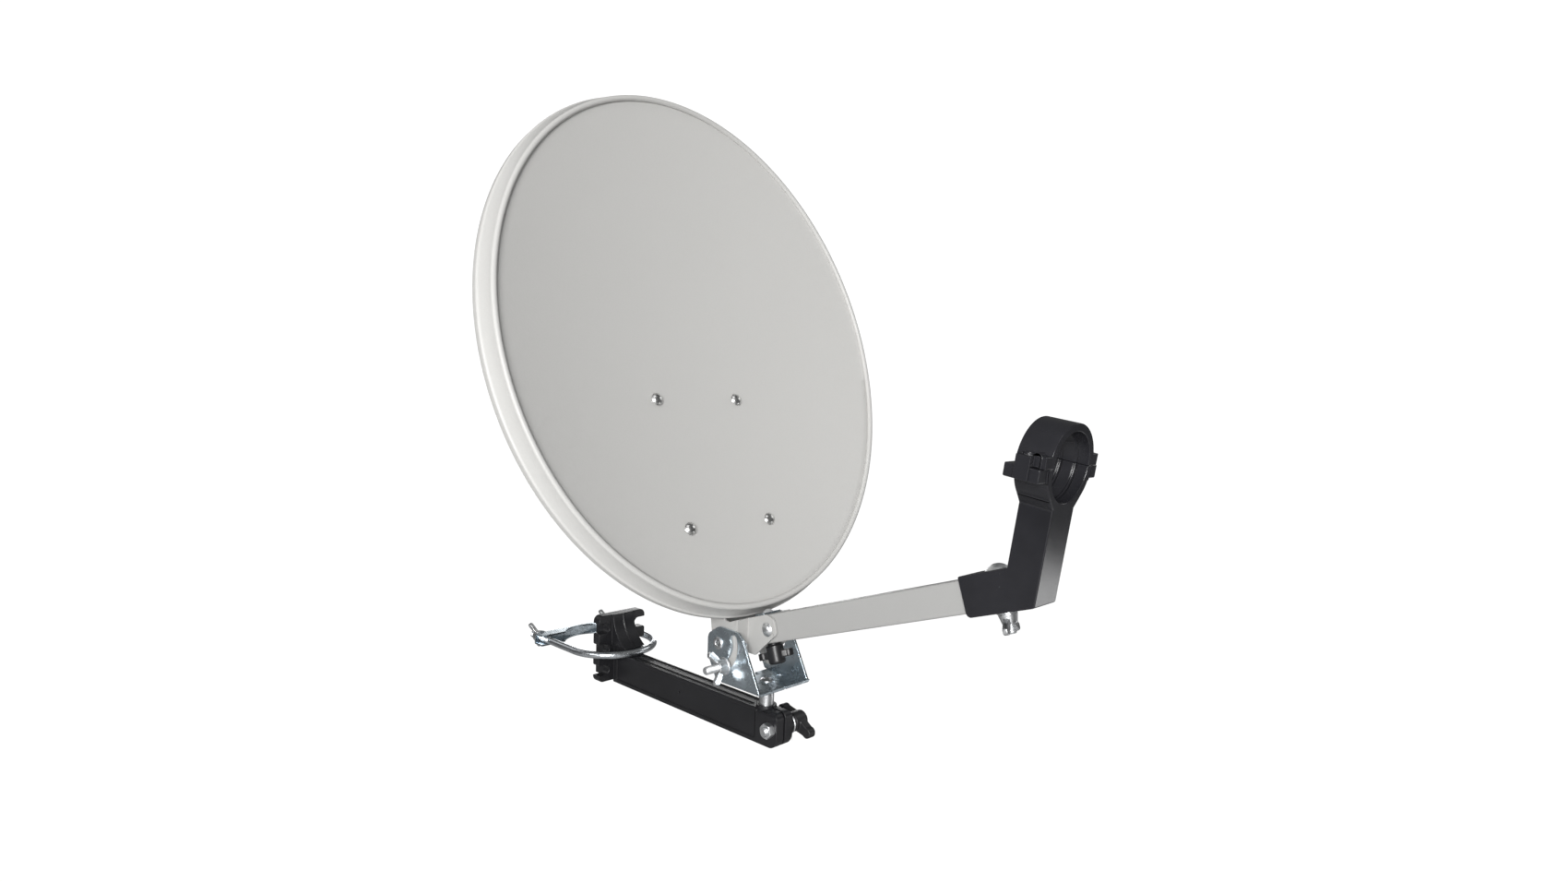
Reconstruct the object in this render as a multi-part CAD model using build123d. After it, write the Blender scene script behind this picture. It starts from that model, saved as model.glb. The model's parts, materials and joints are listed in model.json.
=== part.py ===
"""Offset satellite dish on a mast clamp, with a folding feed arm and an empty 40 mm LNB clamp.

Millimetres, +Z up. The origin is on the mast's axis, level with the U-bolt. +X points from the
mast towards the dish's front, and the whole part is symmetric about the XZ plane except for
the knobs and nuts.
"""
from build123d import *
from math import acos, atan2, cos, degrees, hypot, radians, sin, sqrt, tan
import os

os.makedirs("parts", exist_ok=True)

# ---------------------------------------------------------------- driving dimensions
# mast clamp
mast_diameter = 50.0
jaw_front = 42.6
jaw_plate_thickness = 8.6
jaw_half_width = 23.7
jaw_bottom = -27.0
jaw_top = 30.0
saddle_half_width = 12.5
saddle_half_height = 24.5
notch_pitch = 18.0
notch_radius = 4.2
u_bolt_diameter = 6.0
u_bolt_bend_radius = 37.0
u_bolt_bend_x = 26.0
u_bolt_leg_end = -41.0
strap_web_rear = -27.0
strap_front = -15.0
strap_height = 9.4
strap_half_length = 43.5
strap_sheet = 1.4

# black support arm from the jaw to the swivel
beam_width = 16.2
beam_top = -3.0
beam_height = 26.0
beam_nose = 239.0
panel_depth = 0.9
stub_x = 220.0
stub_diameter = 11.0
clamp_bolt_x = 232.0
clamp_bolt_z = -15.5
slit_width = 1.6
running_clearance = 0.05

# zinc elevation bracket, a U of steel sheet on the stub
head_sheet = 2.0
head_half_width = 25.5
head_floor = 13.9
head_front = 238.7
pivot_x = 194.8
pivot_z = 42.7
slot_radius = 16.8
slot_start = -70.0
slot_end = 20.0
bolt_angle = -64.0
side_gap = 0.3

# painted bracket behind the dish
bracket_sheet = 2.0
ear_outer = 12.3
arm_pivot_x = 230.8
arm_pivot_z = 57.8
step_x = 211.5

# reflector: a round beam's worth of a paraboloid, cut by a plane
aperture_radius = 180.0
focal_length = 235.0
offset_angle = degrees(acos(aperture_radius / 200.0))
rim_tilt = 17.4
rim_centre_x = 152.8
rim_centre_z = 259.7
reflector_sheet = 1.2
skirt_depth = 15.0
skirt_flare = 5.0
dish_bolt_half_span = 40.0
dish_bolt_rows = (-36.0, -136.0)
spacer_length = 7.0

# feed arm and LNB clamp
arm_size = 20.0
arm_wall = 1.5
arm_rise = 18.5
arm_rear = -21.0
arm_front = 206.0
lock_bolt_at = -8.0
holder_bolt_at = 187.0
socket_start = 167.0
socket_wall = 2.2
lnb_radius = 20.0
lnb_ring_outer = 24.6
lnb_ring_width = 20.7
lnb_x = 446.9
lnb_z = 191.0
lnb_droop = 8.5
bar_half = 32.7
screw_out = -11.2
screw_across = 27.6

mast_radius = mast_diameter / 2
plate_rear = jaw_front - jaw_plate_thickness
beam_bottom = beam_top - beam_height
wall_outer = head_half_width - head_sheet - side_gap
wall_inner = wall_outer - bracket_sheet
ear_inner = ear_outer - bracket_sheet
aperture_height = aperture_radius / cos(radians(offset_angle))


# ---------------------------------------------------------------- helpers
def polar(radius, angle):
    """Point at a radius and an angle in degrees, as a pair."""
    return (radius * cos(radians(angle)), radius * sin(radians(angle)))


def outline(points):
    """Closed flat face through the points, in order."""
    return make_face(Polyline(*points, close=True))


def slab(face, y_low, y_high):
    """Face drawn in (x, z), given thickness in Y from y_low to y_high."""
    return Plane.XZ.offset(-y_high) * extrude(face, y_high - y_low)


def block(x_low, x_high, y_low, y_high, z_low, z_high):
    """Box between six planes."""
    centre = ((x_low + x_high) / 2, (y_low + y_high) / 2, (z_low + z_high) / 2)
    return Pos(*centre) * Box(x_high - x_low, y_high - y_low, z_high - z_low)


def rod(radius, start, end):
    """Cylinder from one point to another."""
    path = Vector(*end) - Vector(*start)
    plane = Plane(origin=start, z_dir=path)
    return plane * Cylinder(radius, path.length, align=(Align.CENTER, Align.CENTER, Align.MIN))


def upright(radius, height, base=0.0):
    """Cylinder on the Z axis from base upwards."""
    centred = (Align.CENTER, Align.CENTER, Align.MIN)
    return Pos(0, 0, base) * Cylinder(radius, height, align=centred)


def mirrored_pair(part):
    """The part and its image across the XZ plane, as one group."""
    return [part, mirror(part, Plane.XZ)]


def group(parts):
    """Separate solids kept in one node."""
    solids = []
    for part in parts:
        solids.extend(part.solids())
    return Compound(children=solids)


def save(part, name):
    """Write one node."""
    part.label = name
    export_step(part, f"parts/{name}.step")


# ---------------------------------------------------------------- fasteners, drawn along +Z
def hex_nut(across_flats, height, bore_radius):
    nut = extrude(RegularPolygon(across_flats / 2, 6, major_radius=False), height)
    corner = across_flats / sqrt(3)
    bevel = upright(corner + 1, height) & Cone(
        corner + height * 1.7 - 0.6, corner - 0.6, height, align=(Align.CENTER, Align.CENTER, Align.MIN)
    )
    return (nut & bevel) - upright(bore_radius, height + 2, -1)


def washer(outer_radius, bore_radius, thickness):
    return upright(outer_radius, thickness) - upright(bore_radius, thickness + 2, -1)


def dome(radius, height):
    """Spherical cap standing on the XY plane."""
    ball = (radius * radius + height * height) / (2 * height)
    return Pos(0, 0, height - ball) * Sphere(ball) & upright(radius + 1, height + 1)


def wing_nut(bore_radius, seat_radius=5.8, body_height=6.0, span=12.0, lift=11.5, blade=3.0):
    """Wing nut seated on the XY plane: round body and two raised wings."""
    centred = (Align.CENTER, Align.CENTER, Align.MIN)
    body = Cone(seat_radius, seat_radius - 1.4, body_height, align=centred)
    profile = [
        (seat_radius - 2.6, 1.4),
        (span - 3.8, 4.4),
        (span, 7.6),
        (span - 0.4, lift - 0.8),
        (span - 3.2, lift),
        (seat_radius - 2.6, 5.9),
    ]
    wing = fillet(outline(profile).vertices(), 1.0)
    blade_plate = slab(wing, -blade / 2, blade / 2)
    other = blade_plate.rotate(Axis.Z, 180)
    return body + blade_plate + other - upright(bore_radius, lift + 4, -1)


def carriage_bolt(radius, length, head_radius, head_height):
    """Dome head below the XY plane, shank up along +Z."""
    head = dome(head_radius, head_height).rotate(Axis.X, 180)
    shank = chamfer(upright(radius, length).edges().group_by(Axis.Z)[-1], 0.6)
    return head + shank


def wing_knob(hole_radius, hole_depth, hub_radius=7.0, height=12.0, span=17.5, lobe=3.9, blade=6.5):
    """Moulded two-wing knob seated on the XY plane, with a blind hole from below."""
    hub = fillet(upright(hub_radius, height).edges().group_by(Axis.Z)[-1], 2.0)
    neck = upright(hub_radius - 1.5, 2.0, -2.0)
    tip = span - lobe
    waist = lobe * 0.85
    outer = outline([(-tip, -waist), (0, -hub_radius * 0.85), (tip, -waist),
                     (tip, waist), (0, hub_radius * 0.85), (-tip, waist)])
    plan = outer + Pos(tip, 0) * Circle(lobe) + Pos(-tip, 0) * Circle(lobe)
    wings = Pos(0, 0, height / 2 - blade / 2) * extrude(plan, blade)
    knob = Pos(0, 0, 2.0) * (hub + neck + wings)
    return knob - upright(hole_radius, hole_depth + 1, -1)


def place(part, origin, axis, turn=0.0, x_dir=None):
    """Put a fastener drawn along +Z at an origin, pointing along an axis."""
    plane = Plane(origin=origin, z_dir=axis) if x_dir is None else Plane(origin, x_dir, axis)
    return plane * part.rotate(Axis.Z, turn)


# ---------------------------------------------------------------- support arm moulding
def jaw_plate():
    """Plate against the mast with three hooked notches down each side and a saddle behind."""
    face = RectangleRounded(2 * jaw_half_width, jaw_top - jaw_bottom, 5.0)
    face = Pos(0, (jaw_top + jaw_bottom) / 2) * face
    for row in (-1, 0, 1):
        height = 1.0 + row * notch_pitch
        for side in (-1, 1):
            inner_end = side * (jaw_half_width - 6.5)
            face -= Pos(inner_end, height) * Circle(notch_radius)
            mouth = (abs(inner_end) + jaw_half_width + 2) / 2
            mouth_size = jaw_half_width + 2 - abs(inner_end)
            face -= Pos(side * mouth, height) * Rectangle(mouth_size, 2 * notch_radius)
    lips = [v for v in face.vertices() if abs(abs(v.X) - jaw_half_width) < 0.01]
    face = fillet([v for v in lips if abs(v.Y - 1.0) < notch_pitch + 1], 1.7)
    lips = [v for v in face.vertices() if abs(abs(v.X) - jaw_half_width) < 0.01]
    face = fillet([v for v in lips if 21 < abs(v.Y - 1.0) < 23], 0.7)
    facing_mast = Plane(origin=(plate_rear, 0, 0), x_dir=(0, 1, 0), z_dir=(1, 0, 0))
    plate = facing_mast * extrude(face, jaw_plate_thickness)
    half_width = saddle_half_width
    half_height = saddle_half_height
    saddle = block(mast_radius - 4, plate_rear, -half_width, half_width, -half_height, half_height)
    return plate + saddle - rod(mast_radius, (0, 0, jaw_bottom - 5), (0, 0, jaw_top + 5))


def gusset():
    """Buttress above the U-bolt, hollow-fronted, with a faint ridge down its middle."""
    start = (jaw_front + 1.6, jaw_top)
    end = (61.3, 4.0)
    middle = (49.2, 14.5)
    front = ThreePointArc(start, middle, end)
    rest = Polyline(end, (jaw_front - 1, 4.0), (jaw_front - 1, jaw_top), start)
    body = slab(make_face(Wire([front, *rest.edges()])), -10.5, 10.5)
    ridge_start = (start[0] + 0.5, jaw_top)
    ridge_end = (end[0] + 0.7, 4.0)
    ridge_front = ThreePointArc(ridge_start, (middle[0] + 0.7, middle[1] + 0.4), ridge_end)
    ridge_rest = Polyline(ridge_end, (jaw_front - 1, 4.0), (jaw_front - 1, jaw_top), ridge_start)
    ridge = slab(make_face(Wire([ridge_front, *ridge_rest.edges()])), -0.7, 0.7)
    return body + ridge


def u_bolt_seat():
    """Core between beam and buttress whose round front takes the U-bolt's pull."""
    inner = u_bolt_bend_radius - u_bolt_diameter / 2 - 0.2
    core = block(jaw_front - 1, 66, -8.1, 8.1, beam_top - 1, 4.2)
    return core & rod(inner, (u_bolt_bend_x, 0, beam_top - 2), (u_bolt_bend_x, 0, 6))


def nose_block():
    """Rounded block at the end of the beam that holds the stub."""
    half = beam_width / 2
    side = outline([(beam_nose - 22, beam_bottom), (beam_nose, beam_bottom), (beam_nose, beam_top),
                    (beam_nose - 22, beam_top)])
    side = fillet([v for v in side.vertices() if v.X > beam_nose - 1 and v.Y < -10], 8.0)
    side = fillet([v for v in side.vertices() if v.X > beam_nose - 1 and v.Y > -10], 4.5)
    end = outline([(-half, beam_bottom), (half, beam_bottom), (half, beam_top), (-half, beam_top)])
    end = fillet([v for v in end.vertices() if v.Y > -10], 3.2)
    end_plane = Plane(origin=(beam_nose + 1, 0, 0), x_dir=(0, 1, 0), z_dir=(1, 0, 0))
    return slab(side, -half, half) & end_plane * extrude(end, -24)


def beam():
    """Bar of the arm, with a shallow panel on the near side and ribbed pockets on the far side."""
    half = beam_width / 2
    bar = block(jaw_front - 1, beam_nose - 21, -half, half, beam_bottom, beam_top) + nose_block()
    panel_start = jaw_front + 3.5
    panel_end = 216.8
    panel_face = -half + panel_depth
    panel = block(panel_start, panel_end, -half - 1, panel_face, beam_bottom + 3.2, beam_top - 2.6)
    bar -= fillet(panel.edges().filter_by(Axis.Y), 1.5)
    for side in (-1, 1):
        groove = side * 4.3
        bar -= block(68, panel_end - 6, groove - 1.9, groove + 1.9, beam_top - 0.5, beam_top + 1)
    pocket_count = 5
    pitch = (panel_end - panel_start) / pocket_count
    for number in range(pocket_count):
        low = panel_start + number * pitch + 1.2
        pocket = block(low, low + pitch - 2.4, half - 10, half + 1, beam_bottom + 3, beam_top - 3)
        high = low + pitch
        brace = outline([(low - 1, beam_bottom + 3), (low + 1.6, beam_bottom + 2),
                         (high, beam_top - 3), (high - 2.6, beam_top - 2)])
        bar -= pocket - slab(brace, half - 11, half)
    bar -= rod(0.8, (129.5, -half - 1, -15.4), (129.5, -half + 4, -15.4))
    return bar


def swivel_clamp_cut():
    """Everything removed from the beam's nose: stub bore, pinch slit and bolt bore."""
    bore = rod(stub_diameter / 2 + running_clearance, (stub_x, 0, beam_bottom - 2), (stub_x, 0, 4))
    slit = block(stub_x, beam_nose + 2, -slit_width / 2, slit_width / 2, beam_bottom - 2, 4)
    bolt = rod(3.2, (clamp_bolt_x, -20, clamp_bolt_z), (clamp_bolt_x, 20, clamp_bolt_z))
    return bore + slit + bolt


def support_arm():
    collar = rod(7.6, (stub_x, 0, beam_top - 1), (stub_x, 0, -1.2))
    boss_x = clamp_bolt_x - 1
    boss_far = rod(8.0, (boss_x, beam_width / 2 - 1, clamp_bolt_z), (boss_x, 10.5, clamp_bolt_z))
    body = jaw_plate() + gusset() + u_bolt_seat() + beam() + collar + boss_far
    return body - swivel_clamp_cut()


# ---------------------------------------------------------------- mast clamp hardware
def u_bolt():
    radius = u_bolt_bend_radius
    near_leg = Line((u_bolt_leg_end, -radius, 0), (u_bolt_bend_x, -radius, 0))
    bend = ThreePointArc(
        (u_bolt_bend_x, -radius, 0), (u_bolt_bend_x + radius, 0, 0), (u_bolt_bend_x, radius, 0)
    )
    far_leg = Line((u_bolt_bend_x, radius, 0), (u_bolt_leg_end, radius, 0))
    path = Wire([near_leg, bend, far_leg])
    section = Plane(origin=(u_bolt_leg_end, -radius, 0), z_dir=(1, 0, 0)) * Circle(u_bolt_diameter / 2)
    return sweep(section, path=path)


def clamp_strap():
    """Straight channel across the back of the mast, its flanges cut to the mast's curve."""
    low = strap_web_rear
    half = strap_half_length
    tall = strap_height / 2
    channel = block(low, strap_front, -half, half, -tall, tall)
    inner = tall - strap_sheet
    inside = block(low + strap_sheet, strap_front + 1, -half - 1, half + 1, -inner, inner)
    body = channel - inside - rod(mast_radius, (0, 0, -10), (0, 0, 10))
    edges = body.edges().filter_by(Axis.Y).filter_by(lambda edge: edge.center().X < low + 0.1)
    body = fillet(edges.filter_by(lambda edge: abs(edge.center().Z) > tall - 0.1), 1.2)
    for side in (-1, 1):
        body -= rod(3.3, (-60, side * u_bolt_bend_radius, 0), (0, side * u_bolt_bend_radius, 0))
    return body


def strap_washers():
    for_leg = place(washer(6.0, 3.3, 1.4), (strap_web_rear, -u_bolt_bend_radius, 0), (-1, 0, 0))
    return group(mirrored_pair(for_leg))


def strap_wing_nut(side):
    nut = wing_nut(u_bolt_diameter / 2 + running_clearance)
    seat = strap_web_rear - 1.4 - 0.1
    return place(nut, (seat, side * u_bolt_bend_radius, 0), (-1, 0, 0), x_dir=(0, -0.4, 0.92))


# ---------------------------------------------------------------- azimuth clamp
def clamp_axis_point(y):
    return (clamp_bolt_x, y, clamp_bolt_z)


def azimuth_nut():
    nut = hex_nut(10.0, 5.0, 3.0 + running_clearance)
    return place(nut, clamp_axis_point(-beam_width / 2), (0, -1, 0), turn=12.0)


def azimuth_washer():
    return place(washer(7.5, 3.3, 1.2), clamp_axis_point(10.5), (0, 1, 0))


def azimuth_stud():
    start = -beam_width / 2 - 6.8
    stud = rod(3.0, clamp_axis_point(start), clamp_axis_point(22.8))
    return chamfer(stud.edges().group_by(Axis.Y)[0], 0.6)


def azimuth_knob():
    wing_line = (cos(radians(24)), 0, -sin(radians(24)))
    return place(wing_knob(3.0, 11.0), clamp_axis_point(11.8), (0, 1, 0), x_dir=wing_line)


# ---------------------------------------------------------------- azimuth head
def pivot_point(radius, angle):
    across, up = polar(radius, angle)
    return (pivot_x + across, pivot_z + up)


def head_side_face():
    """Side plate of the elevation bracket in (x, z)."""
    face = outline([(193.4, head_floor), (head_front, head_floor), (219.5, 50.5), (214.6, 54.2),
                    (195.0, 55.0), (182.9, 47.5), (182.9, 32.5)])
    face = fillet([v for v in face.vertices() if v.Y > 45 and v.X < 200], 6.4)
    return fillet([v for v in face.vertices() if v.Y > 45 and v.X > 210], 4.0)


def elevation_slot():
    """Arc slot centred on the pivot, drawn in (x, z)."""
    width = 3.35
    arc = ThreePointArc(
        pivot_point(slot_radius, slot_start),
        pivot_point(slot_radius, (slot_start + slot_end) / 2),
        pivot_point(slot_radius, slot_end),
    )
    return SlotArc(arc, 2 * width)


def elevation_bracket():
    half = head_half_width
    inner = half - head_sheet
    side_face = head_side_face() - elevation_slot() - Pos(pivot_x, pivot_z) * Circle(3.1)
    side = slab(side_face, -half, -inner)
    floor = block(201.0, head_front, -half, half, head_floor, head_floor + head_sheet)
    body = side + mirror(side, Plane.XZ) + floor
    bends = body.edges().filter_by(Axis.X).filter_by(lambda edge: edge.center().Z < head_floor + 0.1)
    body = fillet(bends.filter_by(lambda edge: abs(edge.center().Y) > inner), 1.9)
    body -= block(200.0, 206.5, -6.0, 6.0, head_floor - 1, head_floor + 4)
    body -= block(head_front - 1.2, head_front + 1, -0.8, 0.8, head_floor - 1, head_floor + 4)
    body -= rod(2.1, (stub_x - 1.5, 15, head_floor - 1), (stub_x - 1.5, 15, head_floor + 4))
    body -= rod(4.0, (stub_x, 0, head_floor - 1), (stub_x, 0, head_floor + 4))
    return body


def swivel_stub():
    """Pin that turns in the arm's nose, riveted over above the bracket's floor."""
    pin = rod(stub_diameter / 2, (stub_x, 0, beam_bottom + 1), (stub_x, 0, head_floor))
    pin = chamfer(pin.edges().group_by(Axis.Z)[0], 0.8)
    tenon = rod(4.0, (stub_x, 0, head_floor), (stub_x, 0, head_floor + head_sheet))
    head = Pos(stub_x, 0, head_floor + head_sheet) * dome(5.2, 1.5)
    return pin + tenon + head


def pivot_rivet():
    """Tubular rivet that holds the dish bracket's wall inside the side plate."""
    flange = rod(4.6, (pivot_x, -head_half_width, pivot_z), (pivot_x, -head_half_width - 1.3, pivot_z))
    flange = fillet(flange.edges().group_by(Axis.Y)[0], 0.6)
    barrel = rod(3.1, (pivot_x, -head_half_width, pivot_z), (pivot_x, -wall_inner + 0.1, pivot_z))
    clinch = rod(4.4, (pivot_x, -wall_inner + 0.1, pivot_z), (pivot_x, -wall_inner + 1.1, pivot_z))
    hollow = rod(1.9, (pivot_x, -head_half_width - 3, pivot_z), (pivot_x, -wall_inner + 3, pivot_z))
    return flange + barrel + clinch - hollow


# ---------------------------------------------------------------- reflector
rim_plane = Plane(
    origin=(rim_centre_x, 0, rim_centre_z),
    x_dir=(0, 1, 0),
    z_dir=(cos(radians(rim_tilt)), 0, sin(radians(rim_tilt))),
)
beam_elevation = rim_tilt + offset_angle
axis_offset = 2 * focal_length * tan(radians(offset_angle))


rim_axial = (axis_offset ** 2 + aperture_radius ** 2) / (4 * focal_length)


def dish_depth(across, height):
    """Depth of the paraboloid behind the rim plane, at a place measured on that plane."""
    tilt = radians(offset_angle)
    from_axis = axis_offset + height * cos(tilt)
    a = sin(tilt) ** 2
    b = -(2 * sin(tilt) * from_axis + 4 * focal_length * cos(tilt))
    c = from_axis ** 2 + across ** 2 - 4 * focal_length * (rim_axial + height * sin(tilt))
    return (b + sqrt(b * b - 4 * a * c)) / (2 * a)


def paraboloid(thickness):
    """Solid inside the paraboloid, moved back by the sheet's thickness."""
    reach = 460.0
    edge = Bezier((0, 0), (0, reach / 2), (reach * reach / (4 * focal_length), reach))
    top = reach * reach / (4 * focal_length)
    profile = make_face(Wire([*edge.edges(), *Polyline((top, reach), (top, 0), (0, 0)).edges()]))
    bowl = revolve(profile, Axis.X, 360)
    forward = Vector(cos(radians(beam_elevation)), 0, sin(radians(beam_elevation)))
    upward = Vector(-sin(radians(beam_elevation)), 0, cos(radians(beam_elevation)))
    centre = Vector(rim_centre_x, 0, rim_centre_z)
    vertex = centre - upward * axis_offset - forward * (rim_axial + thickness)
    return Plane(origin=vertex, x_dir=forward, z_dir=forward.cross(upward)) * bowl


def ellipse_slab(grow, front, back, grow_back=None):
    """Tapered elliptic solid between two planes parallel to the rim."""
    grow_back = grow if grow_back is None else grow_back
    faces = []
    for size, depth in ((grow, front), (grow_back, back)):
        faces.append(rim_plane.offset(-depth) * Ellipse(aperture_radius + size, aperture_height + size))
    return loft(faces)


def dish_volume(thickness):
    """Everything between the rim plane and the back of the paraboloid."""
    return paraboloid(thickness) & ellipse_slab(-1.2 + thickness, 0.0, 60.0)


def reflector():
    sheet = reflector_sheet
    bowl = dish_volume(sheet) - paraboloid(0.0)
    skirt = ellipse_slab(0.0, 0.0, 10.0, skirt_flare - sheet)
    skirt -= ellipse_slab(-sheet, -0.1, 10.1, skirt_flare - 2 * sheet)
    hem = ellipse_slab(skirt_flare, 10.0, skirt_depth)
    hem -= ellipse_slab(skirt_flare - 2 * sheet, 9.9, skirt_depth + 0.1)
    bead_path = (rim_plane * Ellipse(aperture_radius - 1.8, aperture_height - 1.8)).wire()
    start = bead_path.position_at(0)
    bead = sweep(Plane(origin=start, z_dir=bead_path.tangent_at(0)) * Circle(2.2), path=bead_path)
    body = bowl + skirt + hem + bead
    for centre, normal in dish_bolt_seats():
        body -= rod(2.6, Vector(*centre) - normal * 12, Vector(*centre) + normal * 12)
    return body


def rim_point(across, height, depth):
    return rim_plane.from_local_coords(Vector(across, height, -depth))


# The four dish bolts sit on a chord plane behind the bowl.
chord_low = rim_point(0, dish_bolt_rows[1], dish_depth(dish_bolt_half_span, dish_bolt_rows[1]))
chord_high = rim_point(0, dish_bolt_rows[0], dish_depth(dish_bolt_half_span, dish_bolt_rows[0]))
chord_up = (chord_high - chord_low).normalized()
chord_normal = Vector(0, 1, 0).cross(chord_up)
chord_length = (chord_high - chord_low).length
plate_gap = reflector_sheet + spacer_length


def chord_point(up, out, across=0.0):
    """Point measured along the bolt chord, out in front of it, and across."""
    return chord_low + chord_up * up + chord_normal * out + Vector(0, across, 0)


def dish_bolt_seats():
    """Centre of each bolt on the reflector's face, with the bolts' common direction."""
    seats = []
    for up in (0.0, chord_length):
        for side in (-1, 1):
            seats.append((chord_point(up, 0, side * dish_bolt_half_span), chord_normal))
    return seats


def dish_bolts():
    bolts = []
    for centre, normal in dish_bolt_seats():
        bolt = carriage_bolt(2.5, 24.0, 5.0, 2.6)
        bolts.append(place(bolt, centre + normal * 0.9, -normal))
    return group(bolts)


def dish_spacers():
    """Collars between the bowl and the back bracket, shaped to the bowl."""
    bowl = dish_volume(reflector_sheet)
    spacers = []
    for centre, normal in dish_bolt_seats():
        collar = rod(7.0, centre + normal * 3.0, centre - normal * plate_gap)
        spacers.append(collar - bowl - rod(2.6, centre + normal * 12, centre - normal * 20))
    return group(spacers)


def dish_washers():
    rings = []
    behind = plate_gap + bracket_sheet
    for centre, normal in dish_bolt_seats():
        rings.append(place(washer(6.0, 2.6, 1.2), centre - normal * behind, -normal))
    return group(rings)


def dish_nuts():
    nuts = []
    for centre, normal in dish_bolt_seats():
        seat = centre - normal * (plate_gap + bracket_sheet + 1.2)
        nuts.append(place(hex_nut(8.0, 4.2, 2.5), seat, -normal, turn=20.0))
    return group(nuts)


# ---------------------------------------------------------------- back bracket
arm_along = Vector(cos(radians(arm_rise)), 0, sin(radians(arm_rise)))
arm_across = Vector(-sin(radians(arm_rise)), 0, cos(radians(arm_rise)))
arm_pivot = Vector(arm_pivot_x, 0, arm_pivot_z)


def arm_point(along, across, y=0.0):
    """Point measured along the feed arm from its pivot, and square to it."""
    return arm_pivot + arm_along * along + arm_across * across + Vector(0, y, 0)


def flat(point):
    """The (x, z) pair of a point."""
    return (point.X, point.Z)


def bracket_wall():
    """Side wall outline in (x, z), from the pivot up the back of the bowl."""
    front_top = flat(chord_point(chord_length + 8, -plate_gap - 1))
    front_low = flat(chord_point(-13, -plate_gap - 1))
    rear_top = flat(chord_point(chord_length + 8, -plate_gap - 9))
    rear_low = flat(chord_point(-13, -plate_gap - 17))
    points = [front_top, front_low, (184.3, 104.0), (198.3, 60.0), (203.0, 59.4), (step_x, 62.3),
              (step_x, 37.0), (209.6, 24.0), (203.0, 18.2), (195.0, 19.0), (186.5, 33.0),
              (183.0, 58.0), rear_low, rear_top]
    face = outline(points)
    low = [v for v in face.vertices() if v.Y < 35 and v.X < step_x - 1]
    return fillet(low, 4.0)


def ear_face():
    """Ear that carries the feed arm, in (x, z)."""
    top_rear = (step_x - bracket_sheet, 61.6)
    points = [top_rear, flat(arm_point(2.0, 10.4)), flat(arm_point(8.4, 6.0)),
              flat(arm_point(8.2, -4.6)), (219.2, 36.8), (step_x - bracket_sheet, 36.8)]
    face = outline(points)
    front = [v for v in face.vertices() if v.X > 225]
    return fillet(front, 3.6)


def bracket_web():
    """Sheet that joins the two walls along their rear edges."""
    foot = (184.2, 49.5)
    bend = (183.0, 58.0)
    top = flat(chord_point(-13, -plate_gap - 17))
    inside = [(top[0] + 2.1, top[1] + 1), (bend[0] + 2.1, bend[1] + 0.6), (foot[0] + 2.1, foot[1])]
    return slab(outline([foot, bend, top, *inside]), -wall_inner, wall_inner)


def back_bracket():
    wall = slab(bracket_wall(), -wall_outer, -wall_inner)
    slot_bolt = pivot_point(slot_radius, bolt_angle)
    wall -= rod(3.1, (slot_bolt[0], -40, slot_bolt[1]), (slot_bolt[0], 0, slot_bolt[1]))
    wall -= rod(3.1 + running_clearance, (pivot_x, -40, pivot_z), (pivot_x, 0, pivot_z))
    step = block(step_x - bracket_sheet, step_x, -wall_outer, -ear_inner, 36.8, 62.0)
    ear = slab(ear_face(), -ear_outer, -ear_inner)
    ear -= rod(3.05, (arm_pivot_x, -40, arm_pivot_z), (arm_pivot_x, 0, arm_pivot_z))
    half_bracket = wall + step + ear
    plate_centre = chord_point(chord_length / 2 - 2.5, -plate_gap)
    plate_plane = Plane(origin=plate_centre, x_dir=(0, 1, 0), z_dir=chord_normal)
    plate = plate_plane * extrude(RectangleRounded(98.0, chord_length + 26, 9.0), -bracket_sheet)
    for centre, normal in dish_bolt_seats():
        plate -= rod(2.6, centre + normal * 5, centre - normal * 20)
    return half_bracket + mirror(half_bracket, Plane.XZ) + plate + bracket_web()


def bracket_rivets():
    """Small tubular rivets at the step of the bracket, one on each side."""
    centre = (step_x, -15.6, 43.4)
    head = rod(2.3, centre, (step_x + 1.2, -15.6, 43.4))
    rivet = fillet(head.edges().group_by(Axis.X)[-1], 0.5) - rod(1.1, centre, (step_x + 3, -15.6, 43.4))
    return group(mirrored_pair(rivet))


def arm_pivot_rivet():
    shank = rod(3.0, (arm_pivot_x, -ear_outer, arm_pivot_z), (arm_pivot_x, ear_outer, arm_pivot_z))
    near = place(dome(5.0, 2.8), (arm_pivot_x, -ear_outer, arm_pivot_z), (0, -1, 0))
    return shank + near + mirror(near, Plane.XZ)


def elevation_bolts():
    """Carriage bolts from inside the bracket walls out through the arc slots."""
    x, z = pivot_point(slot_radius, bolt_angle)
    bolt = carriage_bolt(3.0, 44.4 - wall_inner, 6.4, 3.2)
    return group(mirrored_pair(place(bolt, (x, -wall_inner, z), (0, -1, 0))))


def elevation_washers():
    x, z = pivot_point(slot_radius, bolt_angle)
    ring = washer(6.4, 3.05, 1.5)
    return group(mirrored_pair(place(ring, (x, -head_half_width - 0.1, z), (0, -1, 0))))


def elevation_wing_nut(side):
    x, z = pivot_point(slot_radius, bolt_angle)
    seat = side * (head_half_width + 1.7)
    nut = wing_nut(3.0 + running_clearance)
    tilt = radians(-69)
    return place(nut, (x, seat, z), (0, side, 0), x_dir=(cos(tilt), 0, sin(tilt)))


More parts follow.
